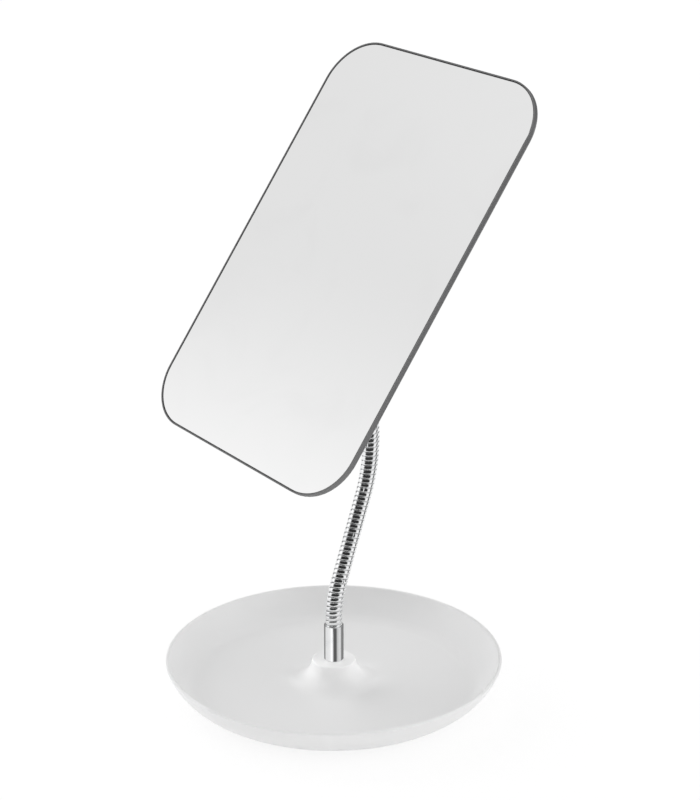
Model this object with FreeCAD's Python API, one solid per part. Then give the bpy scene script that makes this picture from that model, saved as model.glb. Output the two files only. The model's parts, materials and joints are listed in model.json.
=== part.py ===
import math
import os
import FreeCAD, Part

V = FreeCAD.Vector
os.makedirs("parts", exist_ok=True)

# Vanity mirror on a bendable neck over a dish base. Millimetres.
# Origin: centre of the base underside. +Z is up and the glass looks towards -Y.

# dish base
RIM_R = 80.8
BASE_H = 18.0
RIM_ROUND = 0.9
FOOT_R = 63.3
WALL_BULGE = 2.8
SKIRT_Z = 0.6
SKIRT_T = 1.8
FLOOR_ROUND = 10.0
FLOOR_T = 1.5
PAD_T = 1.0
WEIGHT_T = 1.2
TAPE_T = 0.3
BOSS_R = 10.6
BOSS_H = 11.0
BOSS_ROUND = 0.8
BOSS_WALL = 2.4
FLARE_R = 11.5

# neck fastening
STUD_R = 3.0
NUT_FLATS = 10.0
NUT_T = 5.0
WASHER_R = 6.2
WASHER_T = 1.6
LOCK_T = 1.5
LOCK_W = 2.0
LOCK_SPLIT = 1.0

# neck
PITCH = 2.26
WIRE_D = 1.6
COIL_R = 3.3
CORE_BORE = 1.2
FERRULE_R = 4.7
FERRULE_H = 18.0
SOCKET_DEPTH = 10.0
COIL_IN = 8.0
LEAD = 1.0
LOW_BEND_R = 60.0
LOW_BEND = 22.0
MID_RUN = 39.6
TOP_BEND_R = 76.0
TOP_BEND = 53.0
TOP_RUN = 27.0
BENDS = 6
BEND_GAP = 1.2

# ball joint
BALL_R = 8.0
PIN_R = 2.2
SHOULDER_R = 2.7
PIN_HEAD_R = 3.4
PIN_HEAD_T = 1.4
LINER_T = 0.95
LINER_BACK = 62.0
LINER_FRONT = 150.0
HOUSING_R = 11.4
FLANGE_R = 17.0
FLANGE_T = 5.0
COLLAR_T = 2.0
LIP_REACH = 4.4
JOINT_BELOW = 25.0

# mirror head
GLASS_W = 132.0
GLASS_H = 201.0
GLASS_T = 1.8
GLASS_CORNER = 23.0
BEVEL = 0.4
LIP_W = 0.6
LIP_PROUD = 0.3
FOAM_T = 0.5
FOAM_W = 8.0
FOAM_INSET = 3.0
SHELL_T = 1.2
SHELL_ROUND = 2.2
SCREW_R = 1.25
SCREW_HEAD_R = 2.4
SCREW_LEN = 5.0
SCREW_COUNT = 3
FACE_LEAN = 33.7
FACE_ROLL = 6.6

# clearances
RUN = 0.05
FIT = 0.1
GAP = 0.3

under_z = PAD_T + WEIGHT_T + TAPE_T
floor_z = under_z + FLOOR_T
boss_z = floor_z + BOSS_H
wire_r = WIRE_D / 2
coil_out = COIL_R + wire_r
core_r = COIL_R - wire_r - GAP


def save(shape, node):
    shape.exportStep("parts/%s.step" % node)


def turned(start, *steps):
    """Solid turned about Z. A step is the next (r, z), or a point to pass through and the next."""
    edges = []
    here = V(start[0], 0, start[1])
    for step in steps + (start,):
        there = V(step[-2], 0, step[-1])
        if len(step) == 4:
            edges.append(Part.Arc(here, V(step[0], 0, step[1]), there).toShape())
        elif (there - here).Length > 1e-6:
            edges.append(Part.LineSegment(here, there).toShape())
        here = there
    face = Part.Face(Part.Wire(edges))
    return face.revolve(V(0, 0, 0), V(0, 0, 1), 360)


def ring(inner, outer, z0, z1):
    return turned((inner, z0), (outer, z0), (outer, z1), (inner, z1))


def on_circle(r0, z0, radius, degrees):
    a = math.radians(degrees)
    return (r0 + radius * math.cos(a), z0 + radius * math.sin(a))


def rounded(width, height, corner, z0, z1):
    """Upright slab with a rounded rectangular outline about the origin."""
    x = width / 2
    y = height / 2
    k = corner * (1 - math.sqrt(0.5))
    c = corner
    lines = [((x, c - y), (x, y - c)), ((c - x, -y), (x - c, -y)),
             ((-x, y - c), (-x, c - y)), ((x - c, y), (c - x, y))]
    arcs = [((x, y - c), (x - k, y - k), (x - c, y)),
            ((c - x, y), (k - x, y - k), (-x, y - c)),
            ((-x, c - y), (k - x, k - y), (c - x, -y)),
            ((x - c, -y), (x - k, k - y), (x, c - y))]
    edges = [Part.LineSegment(V(a[0], a[1], z0), V(b[0], b[1], z0)).toShape() for a, b in lines]
    edges += [Part.Arc(*[V(p[0], p[1], z0) for p in arc]).toShape() for arc in arcs]
    face = Part.Face(Part.Wire(Part.__sortEdges__(edges)))
    return face.extrude(V(0, 0, z1 - z0))


# base tray
low_rim = BASE_H - RIM_ROUND
inner_rim = RIM_R - 2 * RIM_ROUND
chord = V(RIM_R - FOOT_R, 0, low_rim - SKIRT_Z)
outward = V(chord.z, 0, -chord.x).normalize()
bulge = V((FOOT_R + RIM_R) / 2, 0, (SKIRT_Z + low_rim) / 2) + outward * WALL_BULGE
wall_r = chord.Length ** 2 / (8 * WALL_BULGE) + WALL_BULGE / 2
hub = bulge - outward * wall_r
inside = V(inner_rim, 0, low_rim) - hub
wall_room = (low_rim - floor_z) / (1 + inside.z / inside.Length)
floor_round = min(FLOOR_ROUND, wall_room - RIM_ROUND)
round_z = floor_z + floor_round
round_x = math.sqrt((inside.Length - floor_round) ** 2 - (hub.z - round_z) ** 2)
floor_r = hub.x + round_x
rim_turn = math.degrees(math.atan2(inside.z, inside.x))
join_turn = math.degrees(math.atan2(round_z - hub.z, round_x))
wall_mid = on_circle(hub.x, hub.z, inside.Length, (rim_turn + join_turn) / 2)
wall_join = on_circle(hub.x, hub.z, inside.Length, join_turn)
corner_mid = on_circle(floor_r, round_z, floor_round, (join_turn - 90) / 2)
flare_top = boss_z - BOSS_ROUND
flare_drop = floor_z + FLARE_R - flare_top
flare_foot = BOSS_R + math.sqrt(FLARE_R ** 2 - flare_drop ** 2)
flare_turn = math.degrees(math.asin(flare_drop / FLARE_R))
flare_mid = on_circle(flare_foot, floor_z + FLARE_R, FLARE_R, 180 + (90 + flare_turn) / 2)
crown_mid = on_circle(BOSS_R - BOSS_ROUND, flare_top, BOSS_ROUND, 45)
skirt_in = FOOT_R - SKIRT_T
well_r = NUT_FLATS / math.sqrt(3) + BOSS_WALL
stud_hole = STUD_R + GAP
tray = turned(
    (FOOT_R, SKIRT_Z),
    (bulge.x, bulge.z, RIM_R, low_rim),
    (RIM_R - RIM_ROUND, BASE_H, inner_rim, low_rim),
    wall_mid + wall_join,
    corner_mid + (floor_r, floor_z),
    (flare_foot, floor_z),
    flare_mid + (BOSS_R, flare_top),
    crown_mid + (BOSS_R - BOSS_ROUND, boss_z),
    (stud_hole, boss_z),
    (stud_hole, boss_z - BOSS_WALL),
    (well_r, boss_z - BOSS_WALL),
    (well_r, floor_z + FLOOR_T),
    (flare_foot - FLOOR_T, under_z),
    (skirt_in, under_z),
    (skirt_in, SKIRT_Z))
save(tray, "base_tray")

# weight, its adhesive ring and the foot pad
weight_r = skirt_in - 4 * GAP
weight_top = PAD_T + WEIGHT_T
save(ring(well_r + BOSS_WALL, weight_r, PAD_T, weight_top), "base_weight")
save(ring(flare_foot, weight_r - BOSS_WALL, weight_top, under_z), "weight_tape")
save(Part.makeCylinder(skirt_in - GAP, PAD_T), "foot_pad")

# lower ferrule, stud, washers and nut
ferrule_top = boss_z + FERRULE_H
bore_r = coil_out + FIT
tap_r = STUD_R + RUN
socket_floor = ferrule_top - SOCKET_DEPTH
edge = GAP
ferrule = turned(
    (tap_r, boss_z), (FERRULE_R - edge, boss_z), (FERRULE_R, boss_z + edge),
    (FERRULE_R, ferrule_top - edge / 2), (FERRULE_R - edge / 2, ferrule_top), (bore_r, ferrule_top),
    (bore_r, socket_floor), (tap_r, socket_floor))
save(ferrule, "lower_ferrule")
washer_top = boss_z - BOSS_WALL
lock_top = washer_top - WASHER_T
nut_top = lock_top - LOCK_T
nut_low = nut_top - NUT_T
stud_low = nut_low - edge
save(turned((0, stud_low), (STUD_R - 2 * edge, stud_low), (STUD_R, stud_low + 2 * edge),
            (STUD_R, socket_floor), (0, socket_floor)), "neck_stud")
save(ring(STUD_R + FIT, WASHER_R, lock_top, washer_top), "neck_washer")
lock = ring(STUD_R + FIT, STUD_R + FIT + LOCK_W, nut_top, lock_top)
split = Part.makeBox(WASHER_R, LOCK_SPLIT, LOCK_T, V(0, -LOCK_SPLIT / 2, nut_top))
save(lock.cut(split), "lock_washer")
corner_r = NUT_FLATS / math.sqrt(3)
corners = [V(corner_r * math.cos(math.radians(60 * k)), corner_r * math.sin(math.radians(60 * k)), nut_low)
           for k in range(7)]
hexagon = Part.Face(Part.makePolygon(corners)).extrude(V(0, 0, NUT_T))
nut = hexagon.cut(Part.makeCylinder(tap_r, NUT_T, V(0, 0, nut_low)))
save(nut, "neck_nut")

# neck line in the YZ plane: lengths with the turn they make, towards +Y when positive
legs = [(LEAD, 0.0),
        (LOW_BEND_R * math.radians(LOW_BEND), 1 / LOW_BEND_R),
        (MID_RUN, 0.0),
        (TOP_BEND_R * math.radians(TOP_BEND), -1 / TOP_BEND_R),
        (TOP_RUN, 0.0)]
bend_end = sum(leg[0] for leg in legs[:4])
ball_s = bend_end + TOP_RUN
neck_end = bend_end + LEAD


def at(s):
    """Point and lean of the neck line at the distance s above the lower ferrule."""
    y, z, lean = 0.0, ferrule_top, 0.0
    left = s
    for length, turn in legs:
        step = min(left, length)
        if turn:
            after = lean + step * turn
            y += (math.cos(lean) - math.cos(after)) / turn
            z += (math.sin(after) - math.sin(lean)) / turn
            lean = after
        else:
            y += step * math.sin(lean)
            z += step * math.cos(lean)
        left -= step
        if left <= 0:
            break
    else:
        y += left * math.sin(lean)
        z += left * math.cos(lean)
    return V(0, y, z), lean


def heading(s):
    lean = at(s)[1]
    return V(0, math.sin(lean), math.cos(lean))


def run_of(s0, s1):
    """Wire along the neck line from s0 to s1."""
    marks = [s0]
    total = 0.0
    for length, turn in legs:
        total += length
        if s0 + 1e-6 < total < s1 - 1e-6:
            marks.append(total)
    marks.append(s1)
    edges = []
    for a, b in zip(marks, marks[1:]):
        ends = at(a)[0], at((a + b) / 2)[0], at(b)[0]
        if (heading(a) - heading(b)).Length < 1e-9:
            edges.append(Part.LineSegment(ends[0], ends[2]).toShape())
        else:
            edges.append(Part.Arc(*ends).toShape())
    return Part.Wire(edges)


def rod(s0, s1, radius):
    mouth = Part.Wire([Part.makeCircle(radius, at(s0)[0], heading(s0))])
    return run_of(s0, s1).makePipeShell([mouth], True, False)


# inner winding as plain lengths of tube, one between each two bending places
spacing = neck_end / BENDS
bend_at = [spacing * (k + 0.5) for k in range(BENDS)]
starts = [-COIL_IN] + [s + BEND_GAP / 2 for s in bend_at]
stops = [s - BEND_GAP / 2 for s in bend_at] + [neck_end + COIL_IN]
for k, (s0, s1) in enumerate(zip(starts, stops)):
    save(rod(s0, s1, core_r).cut(rod(s0, s1, CORE_BORE)), "neck_core_%d" % k)
for k, s in enumerate(bend_at):
    point, lean = at(s)
    print("bend", k + 1, "at", [round(c, 3) for c in point], "lean", round(math.degrees(lean), 3))


# outer winding: one wire, half a turn to each pair of arcs
def on_coil(s):
    point, lean = at(s)
    across = V(0, math.cos(lean), -math.sin(lean))
    turn = 2 * math.pi * s / PITCH
    return point + V(1, 0, 0) * (COIL_R * math.cos(turn)) + across * (COIL_R * math.sin(turn))


def coil_heading(s):
    d = on_coil(s + 1e-4) - on_coil(s - 1e-4)
    return d.normalize()


def bowed(a, corner, b):
    """Arc from a to b whose end tangents meet at corner."""
    mid = (a + b) * 0.5
    half = math.acos(min(1.0, (a - mid).Length / (a - corner).Length))
    top = mid + (corner - mid) * (math.tan(half / 2) / math.tan(half))
    return Part.Arc(a, top, b).toShape()


halves = int((neck_end + 2 * COIL_IN) / (PITCH / 2))
coil_s = [-COIL_IN + PITCH / 2 * k for k in range(halves + 1)]
wire = []
for s0, s1 in zip(coil_s, coil_s[1:]):
    a, b = on_coil(s0), on_coil(s1)
    ta, tb = coil_heading(s0), coil_heading(s1)
    gap = b - a
    k2 = 2 * (1 - ta.dot(tb))
    k1 = 2 * gap.dot(ta + tb)
    d = (-k1 + math.sqrt(k1 ** 2 + 4 * k2 * gap.dot(gap))) / (2 * k2)
    qa, qb = a + ta * d, b - tb * d
    join = (qa + qb) * 0.5
    wire += [bowed(a, qa, join), bowed(join, qb, b)]
mouth = Part.Wire([Part.makeCircle(wire_r, on_coil(coil_s[0]), coil_heading(coil_s[0]))])
winding = Part.Wire(wire).makePipeShell([mouth], True, False)
save(winding, "neck_winding")
marks = [p for e in wire for p in e.discretize(9)[:-1]]
turn_marks = len(marks) * 2 // halves
near = min((marks[i] - marks[i + n]).Length for i in range(len(marks) - turn_marks * 5 // 4)
           for n in range(turn_marks * 3 // 4, turn_marks * 5 // 4))
print("winding: turns", halves / 2, "least gap to itself", round(near - WIRE_D, 3))

# upper ferrule and ball stud, along the last straight of the neck
ball, end_lean = at(ball_s)
stem = heading(ball_s)
stem_axes = FreeCAD.Placement(ball, FreeCAD.Rotation(V(1, 0, 0), stem.cross(V(1, 0, 0)), stem, "ZXY"))
mouth_z = LEAD - TOP_RUN
seat_z = mouth_z + SOCKET_DEPTH
tip_z = seat_z + (FERRULE_H - SOCKET_DEPTH) / 2
flat_z = -math.sqrt(BALL_R ** 2 - (SHOULDER_R + GAP) ** 2)
head_z = BALL_R * 0.57
pin_tap = PIN_R + RUN
upper = turned(
    (bore_r, mouth_z), (FERRULE_R - edge / 2, mouth_z), (FERRULE_R, mouth_z + edge / 2),
    (FERRULE_R, tip_z - 4 * edge), (FERRULE_R - 4 * edge, tip_z), (pin_tap, tip_z),
    (pin_tap, seat_z), (bore_r, seat_z))
upper.Placement = stem_axes
save(upper, "upper_ferrule")
pin = turned(
    (0, seat_z), (PIN_R, seat_z), (PIN_R, tip_z), (SHOULDER_R, tip_z), (SHOULDER_R, flat_z - RUN),
    (PIN_R, flat_z - RUN), (PIN_R, head_z), (PIN_HEAD_R, head_z), (PIN_HEAD_R, head_z + PIN_HEAD_T),
    (0, head_z + PIN_HEAD_T))
pin.Placement = stem_axes
save(pin, "ball_stud")

# ball
nest = PIN_HEAD_R + GAP
sphere = Part.makeSphere(BALL_R)
cap = Part.makeBox(3 * BALL_R, 3 * BALL_R, BALL_R, V(-1.5 * BALL_R, -1.5 * BALL_R, flat_z - BALL_R))
bore = Part.makeCylinder(pin_tap, 3 * BALL_R, V(0, 0, -1.5 * BALL_R))
pocket = Part.makeCylinder(nest, BALL_R, V(0, 0, head_z - RUN))
knob = sphere.cut(cap).cut(bore).cut(pocket)
knob.Placement = stem_axes
save(knob, "ball")

# mirror head, drawn with the glass face at z = 0 and the back towards -z
lean = math.radians(FACE_LEAN)
roll = math.radians(FACE_ROLL)
normal = V(0, -math.cos(lean), math.sin(lean))
rise = V(0, math.sin(lean), math.cos(lean))
long_way = rise * math.cos(roll) + V(1, 0, 0) * math.sin(roll)
short_way = long_way.cross(normal)
liner_in = BALL_R + RUN
liner_out = liner_in + LINER_T
cup_r = liner_out + RUN
shell_back = GLASS_T + FOAM_T + SHELL_T
ball_depth = shell_back + (FLANGE_T / 2) + cup_r
face = ball + normal * ball_depth + long_way * JOINT_BELOW
head_axes = FreeCAD.Placement(face, FreeCAD.Rotation(short_way, long_way, normal, "ZXY"))
joint_at = V(0, -JOINT_BELOW, 0)
print("ball at", [round(c, 3) for c in ball], "stem", [round(c, 4) for c in stem])
print("face at", [round(c, 3) for c in face], "long way", [round(c, 4) for c in long_way])


def on_head(shape, node):
    shape.Placement = head_axes.multiply(shape.Placement)
    save(shape, node)


glass = rounded(GLASS_W, GLASS_H, GLASS_CORNER, -GLASS_T, 0)
front = [e for e in glass.Edges if abs(e.BoundBox.ZMin) < 1e-6]
on_head(glass.makeChamfer(BEVEL, front), "mirror_glass")

inside_w = GLASS_W + 2 * FIT
inside_h = GLASS_H + 2 * FIT
shell = rounded(inside_w + 2 * LIP_W, inside_h + 2 * LIP_W, GLASS_CORNER + FIT + LIP_W, -shell_back, LIP_PROUD)
shell = shell.makeFillet(SHELL_ROUND, [e for e in shell.Edges if abs(e.BoundBox.ZMax + shell_back) < 1e-6])
shell = shell.cut(rounded(inside_w, inside_h, GLASS_CORNER + FIT, -GLASS_T - FOAM_T, LIP_PROUD + 1))
screw_circle = (FLANGE_R + HOUSING_R) / 2
screw_top = -GLASS_T - FOAM_T - FIT
head_low = screw_top - (SCREW_HEAD_R - SCREW_R)
screw_end = screw_top - SCREW_LEN
spots = [V(screw_circle * math.sin(2 * math.pi * k / SCREW_COUNT),
           screw_circle * math.cos(2 * math.pi * k / SCREW_COUNT), 0) + joint_at for k in range(SCREW_COUNT)]
screw = turned((0, screw_end), (SCREW_R, screw_end), (SCREW_R, head_low), (SCREW_HEAD_R, screw_top), (0, screw_top))
seat = turned((0, screw_end - GAP), (SCREW_R + RUN, screw_end - GAP), (SCREW_R + RUN, head_low),
              (SCREW_HEAD_R + RUN, screw_top), (SCREW_HEAD_R + RUN, 0), (0, 0))
screws = []
for spot in spots:
    shell = shell.cut(seat.translated(spot))
    screws.append(screw.translated(spot))
on_head(shell, "back_shell")
on_head(Part.makeCompound(screws), "socket_screws")

tape_w = GLASS_W - 2 * FOAM_INSET
tape_h = GLASS_H - 2 * FOAM_INSET
tape = rounded(tape_w, tape_h, GLASS_CORNER - FOAM_INSET, -GLASS_T - FOAM_T, -GLASS_T)
window = rounded(tape_w - 2 * FOAM_W, tape_h - 2 * FOAM_W, GLASS_CORNER - FOAM_INSET - FOAM_W,
                 -GLASS_T - FOAM_T, -GLASS_T)
on_head(tape.cut(window), "foam_tape")

# socket behind the shell
centre = -ball_depth
flange_back = -shell_back - FLANGE_T
pole = on_circle(0, centre, cup_r, 90)
cup_mid = on_circle(0, centre, cup_r, 45)
housing = turned(
    (0, -shell_back), (FLANGE_R, -shell_back), (FLANGE_R, flange_back + edge), (FLANGE_R - edge, flange_back),
    (HOUSING_R, flange_back), (HOUSING_R, centre), (cup_r, centre), cup_mid + pole)
housing.translate(joint_at)
for spot in spots:
    housing = housing.cut(seat.translated(spot))
on_head(housing, "socket_housing")

lip_z = centre - LIP_REACH
lip_turn = -math.degrees(math.asin((LIP_REACH - edge) / cup_r))
lip_in = on_circle(0, centre, cup_r, lip_turn)
lip_mid = on_circle(0, centre, cup_r, lip_turn / 2)
collar_in = HOUSING_R + RUN
collar_out = collar_in + COLLAR_T
collar_front = flange_back - 2 * GAP
round_mid = on_circle(collar_out - COLLAR_T, lip_z + COLLAR_T, COLLAR_T, -45)
collar = turned(
    (collar_in, collar_front), (collar_out, collar_front), (collar_out, lip_z + COLLAR_T),
    round_mid + (collar_out - COLLAR_T, lip_z),
    (lip_in[0] + edge, lip_z), lip_in, lip_mid + (cup_r, centre), (collar_in, centre))
collar.translate(joint_at)
on_head(collar, "socket_collar")

back_in = on_circle(0, centre, liner_in, LINER_BACK - 90)
back_out = on_circle(0, centre, liner_out, LINER_BACK - 90)
front_in = on_circle(0, centre, liner_in, LINER_FRONT - 90)
front_out = on_circle(0, centre, liner_out, LINER_FRONT - 90)
middle = (LINER_BACK + LINER_FRONT) / 2 - 90
liner = turned(back_in, back_out, on_circle(0, centre, liner_out, middle) + front_out, front_in,
               on_circle(0, centre, liner_in, middle) + back_in)
liner.translate(joint_at)
on_head(liner, "ball_liner")
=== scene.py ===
"""Looks of a table mirror: a rounded glass on a bendable chrome neck, over a white dish base."""
import json
import math

import bpy
import numpy as np
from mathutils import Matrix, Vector


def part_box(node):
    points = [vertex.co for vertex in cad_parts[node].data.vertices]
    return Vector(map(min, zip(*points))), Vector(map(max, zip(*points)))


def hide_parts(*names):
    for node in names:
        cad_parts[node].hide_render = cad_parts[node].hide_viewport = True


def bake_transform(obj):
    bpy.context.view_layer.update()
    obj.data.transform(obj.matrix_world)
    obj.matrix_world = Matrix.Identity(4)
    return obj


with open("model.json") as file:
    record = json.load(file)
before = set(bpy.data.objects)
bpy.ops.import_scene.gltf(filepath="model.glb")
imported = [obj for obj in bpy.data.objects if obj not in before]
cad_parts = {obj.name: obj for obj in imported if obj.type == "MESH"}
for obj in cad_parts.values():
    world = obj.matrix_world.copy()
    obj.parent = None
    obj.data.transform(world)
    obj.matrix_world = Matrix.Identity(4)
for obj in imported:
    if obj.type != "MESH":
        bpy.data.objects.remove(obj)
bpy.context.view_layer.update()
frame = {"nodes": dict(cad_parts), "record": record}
nodes = frame["nodes"]

MM = 0.001

# camera: its place, its turn about the upright axis and its dip in degrees, and its lens and film width
CAMERA_AT = Vector((558.1, -531.9, 393.9)) * MM
CAMERA_TURN = 45.8
CAMERA_DIP = 17.83
LENS = 79.2
FILM_WIDTH = 36.0
NEAR_LIMIT = 10.0 * MM

# neck line, as the part gives it
LEAD = 1.0 * MM
LOW_BEND_R = 60.0 * MM
LOW_BEND = math.radians(22.0)
MID_RUN = 39.6 * MM
TOP_BEND_R = 76.0 * MM
TOP_BEND = math.radians(53.0)

# windings of the neck, and how far they reach into the ferrules
PITCH = 2.26 * MM
COIL_IN = 8.0 * MM
OUTER_R = 3.5 * MM
OUTER_HALF_WIDTH = 1.1 * MM
OUTER_HALF_DEPTH = 0.6 * MM
OUTER_FLATNESS = 0.62
INNER_R = 2.35 * MM
INNER_HALF = 0.55 * MM
ROUND = 1.0
STEPS_PER_TURN = 48
OUTER_SIDES = 24
INNER_SIDES = 10

# finishes: depth of a moulding's grain, noise levels where a smear starts and is full, and colours of chrome
GRAIN_DEPTH = 0.05 * MM
SMEAR_START = 0.48
SMEAR_FULL = 0.72
CHROME_DULL = (0.80, 0.81, 0.82)
CHROME_BRIGHT = (0.88, 0.885, 0.89)
WHITE = (1, 1, 1, 1)

# sky that lights matt faces: its level, and zones as azimuth, elevation, inner angle, outer angle and change
# (every azimuth and bearing is in degrees from the camera's side, positive to the camera's right)
LIGHT_LEVEL = 0.91
LIGHT_ZONES = [
    (0, 90, 15, 50, -0.20),
    (-135, 15, 10, 42, 1.30),
    (-90, 15, 10, 42, 0.45),
    (-45, 15, 10, 42, -0.45),
    (45, 15, 10, 42, 0.30),
    (90, 15, 10, 42, 0.40),
    (180, 15, 10, 42, -0.62),
    (0, 50, 10, 42, -0.18),
    (180, 50, 10, 42, 0.25),
]

# sky that chrome and glass reflect, written the same way, and the least level that its zones leave
REFLECTED_LEVEL = 0.82
REFLECTED_LEAST = 0.03
REFLECTED_ZONES = [
    (-60, 75, 20, 46, 0.18),
    (-85, 3, 12, 34, 0.36),
    (-42, 10, 23, 32, -0.80),
    (-16, 7, 25, 34, -0.80),
    (10, 4, 24, 33, -0.80),
]

# share of that sky's brightness by azimuth, low down and half way up, and the elevations where the low band
# passes into the middle one and the middle one into the plain sky above
LOW_BAND = [(-180, 0.30), (-125, 0.30), (-117, 0.40), (-113, 1.0), (88, 1.0), (105, 0.30), (150, 0.30)]
MIDDLE_BAND = [
    (-180, 1.0), (-60, 0.95), (-48, 1.0), (-38, 1.16), (-22, 1.16), (-12, 0.60), (0, 0.16), (18, 0.10),
    (36, 0.18), (56, 0.85), (74, 0.85), (100, 1.0),
]
LOW_TO_MIDDLE = (37, 43)
MIDDLE_TO_HIGH = (60, 68)

# floor that chrome and glass reflect: a white sheet with two fading edges, and beyond them shares by azimuth
SHEET_EDGE = (112.5 * MM, 137.5 * MM)
SHEET_BEARINGS = (-16, 90)
FLOOR_BAND = [
    (-180, 1.0), (-76, 1.0), (-64, 0.04), (34, 0.04), (46, 1.0), (76, 1.0), (82, 0.06), (98, 0.06),
    (104, 1.0),
]

# floor: half its side in metres, its drop below the foot pad, its paint, and its glow and the glow's share
FLOOR_HALF = 6.0
FLOOR_DROP = 0.2 * MM
FLOOR_PAINT = (0.9, 0.9, 0.9, 1)
FLOOR_ROUGHNESS = 0.9
FLOOR_GLOW = 1.06
GLOW_SHARE = 0.8

# lamps on the boss: azimuth and elevation of the lamp, bearing and reach of its aim from the neck's axis,
# drop of its aim below the boss's top, radius of its beam there, and its light in watts per square metre
BOSS_LAMPS = [
    (-95, 40, -68, 13.0 * MM, 4.5 * MM, 10.0 * MM, 0.80),
    (105, 40, 95, 13.0 * MM, 4.5 * MM, 13.0 * MM, 0.46),
    (-70, 45, 0, 0.0, 0.0, 12.0 * MM, 0.86),
    (70, 45, 0, 0.0, 0.0, 12.0 * MM, 0.86),
]
LAMP_AWAY = 800.0 * MM
LAMP_R = 8.0 * MM

# legs of the neck line from the lower ferrule up: length, and lean gained per metre; the last leg goes on
NECK_LEGS = [
    (LEAD, 0.0),
    (LOW_BEND_R * LOW_BEND, 1 / LOW_BEND_R),
    (MID_RUN, 0.0),
    (TOP_BEND_R * TOP_BEND, -1 / TOP_BEND_R),
    (math.inf, 0.0),
]
NECK_END = sum(length for length, gain in NECK_LEGS[:-1]) + LEAD
NECK_BODIES = ["base"] + [f"neck_{k}" for k in range(1, 7)]
BOSS_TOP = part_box("lower_ferrule")[0].z
FERRULE_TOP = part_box("lower_ferrule")[1].z


# node helpers

def add_node(tree, kind, **settings):
    """New node in the tree, with its plain settings."""
    node = tree.nodes.new(kind)
    for name, value in settings.items():
        setattr(node, name, value)
    return node


def wire_up(tree, *pairs):
    """Links given as (output socket, input socket)."""
    for out, into in pairs:
        tree.links.new(out, into)


def feed(tree, given, socket):
    """Socket set to a number, or linked to another socket."""
    if isinstance(given, float):
        socket.default_value = given
    else:
        tree.links.new(given, socket)


def worked_out(tree, operation, first, second):
    """Socket holding the sum, product or like result of two values."""
    node = add_node(tree, "ShaderNodeMath", operation=operation)
    feed(tree, first, node.inputs[0])
    feed(tree, second, node.inputs[1])
    return node.outputs["Value"]


def scaled_onto(tree, source, amount, base):
    """Socket holding source times amount plus base."""
    node = add_node(tree, "ShaderNodeMath", operation="MULTIPLY_ADD")
    node.inputs[1].default_value = amount
    node.inputs[2].default_value = base
    tree.links.new(source, node.inputs[0])
    return node.outputs["Value"]


def step_between(tree, value, low, high, top=1.0):
    """Socket that goes smoothly from 0 where the value is low to top where it is high."""
    step = add_node(tree, "ShaderNodeMapRange", interpolation_type="SMOOTHSTEP")
    step.inputs["From Min"].default_value = low
    step.inputs["From Max"].default_value = high
    step.inputs["To Max"].default_value = top
    tree.links.new(value, step.inputs["Value"])
    return step.outputs["Result"]


def blend_values(tree, factor, first, second):
    """Socket that holds the first value where the factor is 0 and the second where it is 1."""
    mix = add_node(tree, "ShaderNodeMix")
    tree.links.new(factor, mix.inputs["Factor"])
    feed(tree, first, mix.inputs["A"])
    feed(tree, second, mix.inputs["B"])
    return mix.outputs["Result"]


def colour_between(tree, mask, low, high):
    """Socket holding the colour that goes from low to high with the mask."""
    mix = add_node(tree, "ShaderNodeMix", data_type="RGBA")
    mix.inputs["A"].default_value = (*low, 1)
    mix.inputs["B"].default_value = (*high, 1)
    tree.links.new(mask, mix.inputs["Factor"])
    return mix.outputs["Result"]


def distance_along(tree, place, direction):
    """Socket holding how far a place lies along a direction."""
    dot = add_node(tree, "ShaderNodeVectorMath", operation="DOT_PRODUCT")
    dot.inputs[1].default_value = direction
    tree.links.new(place, dot.inputs[0])
    return dot.outputs["Value"]


def new_group(name, inputs, outputs):
    """Empty shader group with named float or vector sockets, and its two end nodes."""
    group = bpy.data.node_groups.new(name, "ShaderNodeTree")
    for label, kind in inputs:
        group.interface.new_socket(label, in_out="INPUT", socket_type=kind)
    for label, kind in outputs:
        group.interface.new_socket(label, in_out="OUTPUT", socket_type=kind)
    return group, add_node(group, "NodeGroupInput"), add_node(group, "NodeGroupOutput")


# finishes

def fine_grain_group():
    """Moulded skin: a fine even grain as a height, and a slow drift as a mask."""
    group, given, out = new_group(
        "fine_grain",
        [("Place", "NodeSocketVector"), ("Grain Scale", "NodeSocketFloat"),
         ("Drift Scale", "NodeSocketFloat")],
        [("Height", "NodeSocketFloat"), ("Drift", "NodeSocketFloat")])
    grain = add_node(group, "ShaderNodeTexNoise")
    grain.inputs["Detail"].default_value = 2.0
    drift = add_node(group, "ShaderNodeTexNoise")
    drift.inputs["Detail"].default_value = 3.0
    wire_up(group,
            (given.outputs["Place"], grain.inputs["Vector"]),
            (given.outputs["Grain Scale"], grain.inputs["Scale"]),
            (given.outputs["Place"], drift.inputs["Vector"]),
            (given.outputs["Drift Scale"], drift.inputs["Scale"]),
            (grain.outputs["Fac"], out.inputs["Height"]),
            (drift.outputs["Fac"], out.inputs["Drift"]))
    return group


def handling_group():
    """Faint smears that handling leaves on a polished face, as a mask of soft patches."""
    group, given, out = new_group(
        "handling",
        [("Place", "NodeSocketVector"), ("Patch Scale", "NodeSocketFloat")],
        [("Mask", "NodeSocketFloat")])
    patch = add_node(group, "ShaderNodeTexNoise")
    patch.inputs["Detail"].default_value = 4.0
    patch.inputs["Distortion"].default_value = 0.6
    wire_up(group,
            (given.outputs["Place"], patch.inputs["Vector"]),
            (given.outputs["Patch Scale"], patch.inputs["Scale"]),
            (step_between(group, patch.outputs["Fac"], SMEAR_START, SMEAR_FULL), out.inputs["Mask"]))
    return group


FINE_GRAIN = fine_grain_group()
HANDLING = handling_group()


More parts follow.
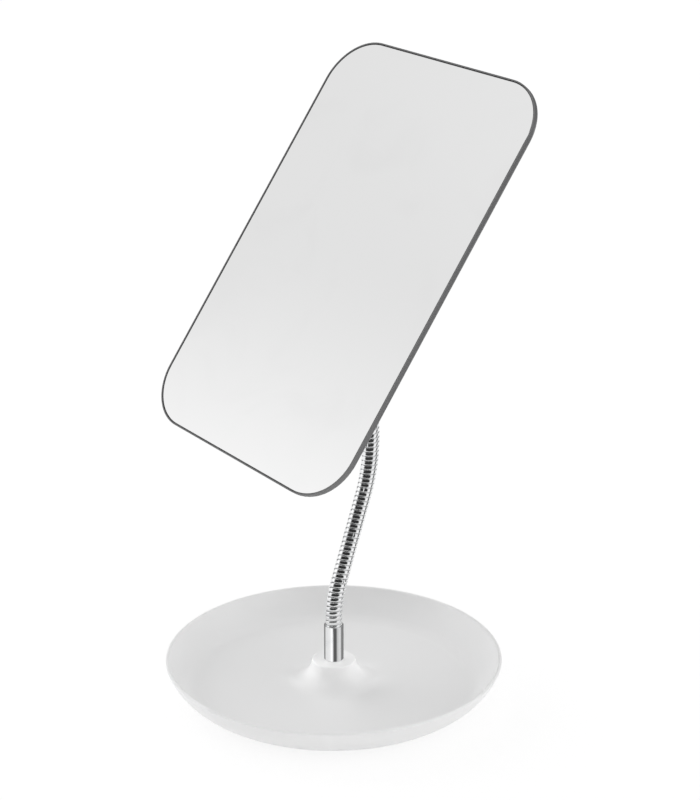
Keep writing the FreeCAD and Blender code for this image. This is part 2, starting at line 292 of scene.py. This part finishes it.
def new_material(name):
    """Material with a Principled shader and its object coordinates."""
    material = bpy.data.materials.new(name)
    material.use_nodes = True
    tree = material.node_tree
    shader = tree.nodes["Principled BSDF"]
    place = add_node(tree, "ShaderNodeTexCoord").outputs["Object"]
    return material, tree, shader, place


def moulding(name, low, high, roughness, spread, bump, grain_scale, drift_scale=18.0, index=1.5):
    """Moulded plastic: colour and gloss drift a little, and a fine grain breaks the highlights."""
    material, tree, shader, place = new_material(name)
    shader.inputs["IOR"].default_value = index
    skin = add_node(tree, "ShaderNodeGroup", node_tree=FINE_GRAIN)
    skin.inputs["Grain Scale"].default_value = grain_scale
    skin.inputs["Drift Scale"].default_value = drift_scale
    relief = add_node(tree, "ShaderNodeBump")
    relief.inputs["Strength"].default_value = bump
    relief.inputs["Distance"].default_value = GRAIN_DEPTH
    wire_up(tree,
            (place, skin.inputs["Place"]),
            (colour_between(tree, skin.outputs["Drift"], low, high), shader.inputs["Base Color"]),
            (scaled_onto(tree, skin.outputs["Drift"], spread, roughness), shader.inputs["Roughness"]),
            (skin.outputs["Height"], relief.inputs["Height"]),
            (relief.outputs["Normal"], shader.inputs["Normal"]))
    return material


def bright_metal(name, dull, bright, roughness, smear, patch_scale):
    """Bare or plated metal: smears dull the polish a little and take a touch of its brightness."""
    material, tree, shader, place = new_material(name)
    shader.inputs["Metallic"].default_value = 1.0
    marks = add_node(tree, "ShaderNodeGroup", node_tree=HANDLING)
    marks.inputs["Patch Scale"].default_value = patch_scale
    wire_up(tree,
            (place, marks.inputs["Place"]),
            (colour_between(tree, marks.outputs["Mask"], bright, dull), shader.inputs["Base Color"]),
            (scaled_onto(tree, marks.outputs["Mask"], smear, roughness), shader.inputs["Roughness"]))
    return material


def turned_metal(name, dull, bright, roughness, smear, patch_scale, crown):
    """Bright metal whose shading leans back as it rises, as on a sleeve turned with a slight crown."""
    material = bright_metal(name, dull, bright, roughness, smear, patch_scale)
    tree = material.node_tree
    shader = tree.nodes["Principled BSDF"]
    place = add_node(tree, "ShaderNodeTexCoord").outputs["Object"]
    rise = add_node(tree, "ShaderNodeSeparateXYZ")
    relief = add_node(tree, "ShaderNodeBump")
    relief.inputs["Distance"].default_value = 1.0
    wire_up(tree,
            (place, rise.inputs["Vector"]),
            (scaled_onto(tree, rise.outputs["Z"], -crown, 0.0), relief.inputs["Height"]),
            (relief.outputs["Normal"], shader.inputs["Normal"]))
    return material


white_moulding = moulding(
    "white_moulding", low=(0.87, 0.87, 0.87), high=(0.89, 0.89, 0.89),
    roughness=0.30, spread=0.08, bump=0.10, grain_scale=2200.0)
grey_moulding = moulding(
    "grey_moulding", low=(0.064, 0.064, 0.066), high=(0.076, 0.076, 0.079),
    roughness=0.36, spread=0.10, bump=0.25, grain_scale=1500.0, index=2.1)
nylon = moulding(
    "nylon", low=(0.70, 0.69, 0.64), high=(0.76, 0.75, 0.70),
    roughness=0.42, spread=0.1, bump=0.2, grain_scale=1500.0)
foam = moulding(
    "foam", low=(0.030, 0.030, 0.032), high=(0.045, 0.045, 0.048),
    roughness=0.85, spread=0.1, bump=0.9, grain_scale=900.0)
chrome = bright_metal(
    "chrome", CHROME_DULL, CHROME_BRIGHT, roughness=0.025, smear=0.04, patch_scale=120.0)
turned_chrome = turned_metal(
    "turned_chrome", CHROME_DULL, CHROME_BRIGHT, roughness=0.06, smear=0.06, patch_scale=90.0, crown=0.84)
steel = bright_metal(
    "steel", dull=(0.42, 0.42, 0.43), bright=(0.52, 0.52, 0.53),
    roughness=0.28, smear=0.12, patch_scale=80.0)
silvering = bright_metal(
    "silvering", dull=(0.905, 0.905, 0.905), bright=(0.925, 0.925, 0.925),
    roughness=0.004, smear=0.006, patch_scale=22.0)

SLOT_FINISH = {
    "white_plastic": white_moulding, "grey_plastic": grey_moulding, "chrome": chrome, "steel": steel,
    "nylon": nylon, "foam": foam, "mirror": silvering,
}


def dress_solids():
    """Each solid of the part takes the finish of its slot, and the lower ferrule the turned one."""
    for row in frame["record"]["subparts"]:
        mesh = nodes[row["node"]].data
        mesh.materials.clear()
        mesh.materials.append(SLOT_FINISH[row["material_slot"]])
    nodes["lower_ferrule"].data.materials[0] = turned_chrome


# windings of the neck

def grid_piece(name, grid, finish):
    """Closed tube from a grid of points: rows along it, columns round it, and a fan at each end."""
    rows, columns = grid.shape[:2]
    ends = np.stack([grid[0].mean(0), grid[-1].mean(0)])
    points = np.concatenate([grid.reshape(-1, 3), ends])
    index = np.arange(rows * columns).reshape(rows, columns)
    across = np.roll(index, -1, axis=1)
    quads = np.stack([index[:-1], across[:-1], across[1:], index[1:]], -1).reshape(-1, 4)
    first = np.stack([np.full(columns, rows * columns), across[0], index[0]], -1)
    last = np.stack([np.full(columns, rows * columns + 1), index[-1], across[-1]], -1)
    mesh = bpy.data.meshes.new(name)
    mesh.from_pydata(points.tolist(), [], quads.tolist() + first.tolist() + last.tolist())
    mesh.polygons.foreach_set("use_smooth", np.arange(len(mesh.polygons)) < len(quads))
    mesh.materials.append(finish)
    piece = bpy.data.objects.new(name, mesh)
    bpy.context.scene.collection.objects.link(piece)
    return piece


def neck_line(s):
    """Neck's centre line as tangent straights and arcs in the YZ plane: y, z and lean at each distance s."""
    y = np.zeros_like(s)
    z = np.full_like(s, FERRULE_TOP)
    lean = np.zeros_like(s)
    left = s.copy()
    for length, gain in NECK_LEGS:
        step = np.minimum(left, length)
        after = lean + step * gain
        if gain:
            y = y + (np.cos(lean) - np.cos(after)) / gain
            z = z + (np.sin(after) - np.sin(lean)) / gain
        else:
            y = y + step * np.sin(lean)
            z = z + step * np.cos(lean)
        lean = after
        left = left - step
    return y, z, lean


def neck_point(s):
    """Point of the neck's centre line at one distance s."""
    y, z, lean = neck_line(np.array([s]))
    return (0.0, float(y[0]), float(z[0]))


def wound_wire(s0, s1, radius, half_width, half_depth, flatness, sides, phase):
    """Wire wound round the neck line: at distance s it has turned by 2 pi s / pitch plus the phase.
    Its section is half_depth times a cosine across the neck and half_width times a sine along it, with the
    size of both raised to the flatness, so 1 gives an ellipse and less gives a flatter crest."""
    s = np.linspace(s0, s1, int((s1 - s0) / PITCH * STEPS_PER_TURN) + 1)[:, None]
    y, z, lean = neck_line(s)
    turn = 2 * np.pi * s / PITCH + phase
    round_section = np.linspace(0, 2 * np.pi, sides, endpoint=False)[None, :]
    out = radius + half_depth * np.sign(np.cos(round_section)) * np.abs(np.cos(round_section)) ** flatness
    up = half_width * np.sign(np.sin(round_section)) * np.abs(np.sin(round_section)) ** flatness
    side = out * np.cos(turn)
    across = out * np.sin(turn)
    return np.stack([
        side,
        y + across * np.cos(lean) + up * np.sin(lean),
        z - across * np.sin(lean) + up * np.cos(lean)], -1)


def neck_windings():
    """Outer and inner winding, in one length for each bending place; each length meets the next half way
    between their bending places."""
    bends = len(NECK_BODIES) - 1
    marks = np.linspace(0, NECK_END, bends + 1)
    reach = marks.copy()
    reach[0] -= COIL_IN
    reach[-1] += COIL_IN
    for k in range(bends):
        outer = grid_piece(
            f"neck_turns_{k + 1}",
            wound_wire(reach[k], reach[k + 1], OUTER_R, OUTER_HALF_WIDTH, OUTER_HALF_DEPTH, OUTER_FLATNESS,
                       OUTER_SIDES, 0.0),
            chrome)
        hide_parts("neck_winding")
        inner = grid_piece(
            f"neck_inner_turns_{k + 1}",
            wound_wire(reach[k], reach[k + 1], INNER_R, INNER_HALF, INNER_HALF, ROUND, INNER_SIDES, np.pi),
            chrome)
        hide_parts(f"neck_core_{k}")
        if k == bends - 1:
            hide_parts(f"neck_core_{bends}")
        for piece in (outer, inner):
            neck_point(marks[k])
            neck_point(marks[k + 1])
            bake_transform(piece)


# studio

def unit(azimuth, elevation):
    """Direction at an azimuth from the camera's side, positive to the camera's right, and an elevation."""
    a = math.radians(CAMERA_TURN - 90 + azimuth)
    e = math.radians(elevation)
    return (math.cos(a) * math.cos(e), math.sin(a) * math.cos(e), math.sin(e))


def sky_zone(tree, place, azimuth, elevation, inner, outer, change):
    """Soft round zone of a sky: the change within the inner angle, fading to nothing at the outer."""
    nearness = distance_along(tree, place, unit(azimuth, elevation))
    return step_between(
        tree, nearness, math.cos(math.radians(outer)), math.cos(math.radians(inner)), change)


def sky_level(tree, place, level, zones):
    """Socket holding the plain level of a sky plus the changes of its zones."""
    total = scaled_onto(tree, sky_zone(tree, place, *zones[0]), 1.0, level)
    for zone in zones[1:]:
        total = worked_out(tree, "ADD", total, sky_zone(tree, place, *zone))
    return total


def azimuth_band(tree, place, band):
    """Socket holding the band's share at the azimuth of a place seen from the foot of the neck."""
    azimuth = worked_out(
        tree, "ARCTAN2",
        distance_along(tree, place, unit(90, 0)), distance_along(tree, place, unit(0, 0)))
    ramp = add_node(tree, "ShaderNodeValToRGB")
    stops = ramp.color_ramp.elements
    for degrees, share in band[2:]:
        stops.new(degrees / 360 + 0.5)
    for stop, (degrees, share) in zip(stops, band):
        stop.position = degrees / 360 + 0.5
        stop.color = (share, share, share, 1)
    tree.links.new(scaled_onto(tree, azimuth, 1 / (2 * math.pi), 0.5), ramp.inputs["Fac"])
    return ramp.outputs["Color"]


def reflected_sky(tree, place):
    """Socket holding the sky that chrome and glass reflect: its level and zones, times the band's share."""
    rise = add_node(tree, "ShaderNodeSeparateXYZ")
    tree.links.new(place, rise.inputs["Vector"])
    middle, high = [
        step_between(tree, rise.outputs["Z"], math.sin(math.radians(start)), math.sin(math.radians(end)))
        for start, end in (LOW_TO_MIDDLE, MIDDLE_TO_HIGH)]
    band = blend_values(
        tree, middle, azimuth_band(tree, place, LOW_BAND), azimuth_band(tree, place, MIDDLE_BAND))
    band = blend_values(tree, high, band, 1.0)
    level = sky_level(tree, place, REFLECTED_LEVEL, REFLECTED_ZONES)
    return worked_out(tree, "MULTIPLY", worked_out(tree, "MAXIMUM", level, REFLECTED_LEAST), band)


def surroundings():
    """Plain white to the camera. Rays that have only been mirrored see the reflected sky, and rays that have
    left a matt face see the sky that lights it."""
    world = bpy.data.worlds.new("studio")
    bpy.context.scene.world = world
    world.use_nodes = True
    tree = world.node_tree
    place = add_node(tree, "ShaderNodeTexCoord").outputs["Generated"]
    path = add_node(tree, "ShaderNodeLightPath")
    in_gloss = worked_out(tree, "GREATER_THAN", path.outputs["Is Glossy Ray"], path.outputs["Diffuse Depth"])
    light = sky_level(tree, place, LIGHT_LEVEL, LIGHT_ZONES)
    room = add_node(tree, "ShaderNodeBackground")
    room.inputs["Color"].default_value = WHITE
    plain = tree.nodes["Background"]
    plain.inputs["Color"].default_value = WHITE
    mix = add_node(tree, "ShaderNodeMixShader")
    wire_up(tree,
            (blend_values(tree, in_gloss, light, reflected_sky(tree, place)), room.inputs["Strength"]),
            (path.outputs["Is Camera Ray"], mix.inputs["Fac"]),
            (room.outputs["Background"], mix.inputs[1]),
            (plain.outputs["Background"], mix.inputs[2]),
            (mix.outputs["Shader"], tree.nodes["World Output"].inputs["Surface"]))


def reflected_floor(tree, place):
    """Socket holding the floor that chrome and glass reflect: white on the sheet, the band beyond it."""
    beyond = [
        step_between(tree, distance_along(tree, place, unit(bearing, 0)), *SHEET_EDGE)
        for bearing in SHEET_BEARINGS]
    off_sheet = worked_out(tree, "MAXIMUM", *beyond)
    return blend_values(tree, off_sheet, 1.0, azimuth_band(tree, place, FLOOR_BAND))


def floor_finish():
    """White paint that keeps the dish's shadow, with a glow over it that rays off a matt face don't see.
    Rays off chrome or glass see the reflected floor instead."""
    material, tree, paint, place = new_material("floor_white")
    paint.inputs["Base Color"].default_value = FLOOR_PAINT
    paint.inputs["Roughness"].default_value = FLOOR_ROUGHNESS
    glow = add_node(tree, "ShaderNodeEmission")
    glow.inputs["Strength"].default_value = FLOOR_GLOW
    lit = add_node(tree, "ShaderNodeMixShader")
    reflected = add_node(tree, "ShaderNodeEmission")
    mix = add_node(tree, "ShaderNodeMixShader")
    path = add_node(tree, "ShaderNodeLightPath")
    wire_up(tree,
            (scaled_onto(tree, path.outputs["Is Diffuse Ray"], -GLOW_SHARE, GLOW_SHARE), lit.inputs["Fac"]),
            (paint.outputs["BSDF"], lit.inputs[1]),
            (glow.outputs["Emission"], lit.inputs[2]),
            (reflected_floor(tree, place), reflected.inputs["Strength"]),
            (path.outputs["Is Glossy Ray"], mix.inputs["Fac"]),
            (lit.outputs["Shader"], mix.inputs[1]),
            (reflected.outputs["Emission"], mix.inputs[2]),
            (mix.outputs["Shader"], tree.nodes["Material Output"].inputs["Surface"]))
    return material


def pale_floor():
    """Wide white floor, one square just below the foot pad."""
    corners = [
        (x * FLOOR_HALF, y * FLOOR_HALF, -FLOOR_DROP) for x, y in ((-1, -1), (1, -1), (1, 1), (-1, 1))]
    mesh = bpy.data.meshes.new("floor")
    mesh.from_pydata(corners, [], [(0, 1, 2, 3)])
    mesh.materials.append(floor_finish())
    floor = bpy.data.objects.new("floor", mesh)
    bpy.context.scene.collection.objects.link(floor)


def boss_lamps():
    """Small lamps far off, each with a soft narrow beam on a flank or the top of the boss."""
    for azimuth, elevation, bearing, reach, drop, beam, light in BOSS_LAMPS:
        aim = Vector(unit(bearing, 0)) * reach + Vector((0, 0, BOSS_TOP - drop))
        towards = Vector(unit(azimuth, elevation))
        data = bpy.data.lights.new("boss_lamp", "SPOT")
        data.energy = light * 4 * math.pi * LAMP_AWAY ** 2
        data.spot_size = 2 * math.atan(beam / LAMP_AWAY)
        data.spot_blend = 1.0
        data.shadow_soft_size = LAMP_R
        lamp = bpy.data.objects.new("boss_lamp", data)
        lamp.location = aim + towards * LAMP_AWAY
        lamp.rotation_euler = towards.to_track_quat("Z", "Y").to_euler()
        lamp.visible_glossy = False
        bpy.context.scene.collection.objects.link(lamp)


def camera():
    """Camera at the photograph's viewing angle."""
    data = bpy.data.cameras.new("camera")
    data.lens = LENS
    data.sensor_width = FILM_WIDTH
    data.clip_start = NEAR_LIMIT
    holder = bpy.data.objects.new("camera", data)
    holder.location = CAMERA_AT
    holder.rotation_euler = (math.radians(90 - CAMERA_DIP), 0, math.radians(CAMERA_TURN))
    bpy.context.scene.collection.objects.link(holder)
    bpy.context.scene.camera = holder


dress_solids()
neck_windings()
surroundings()
pale_floor()
boss_lamps()
camera()
bpy.context.scene.view_settings.view_transform = "Standard"
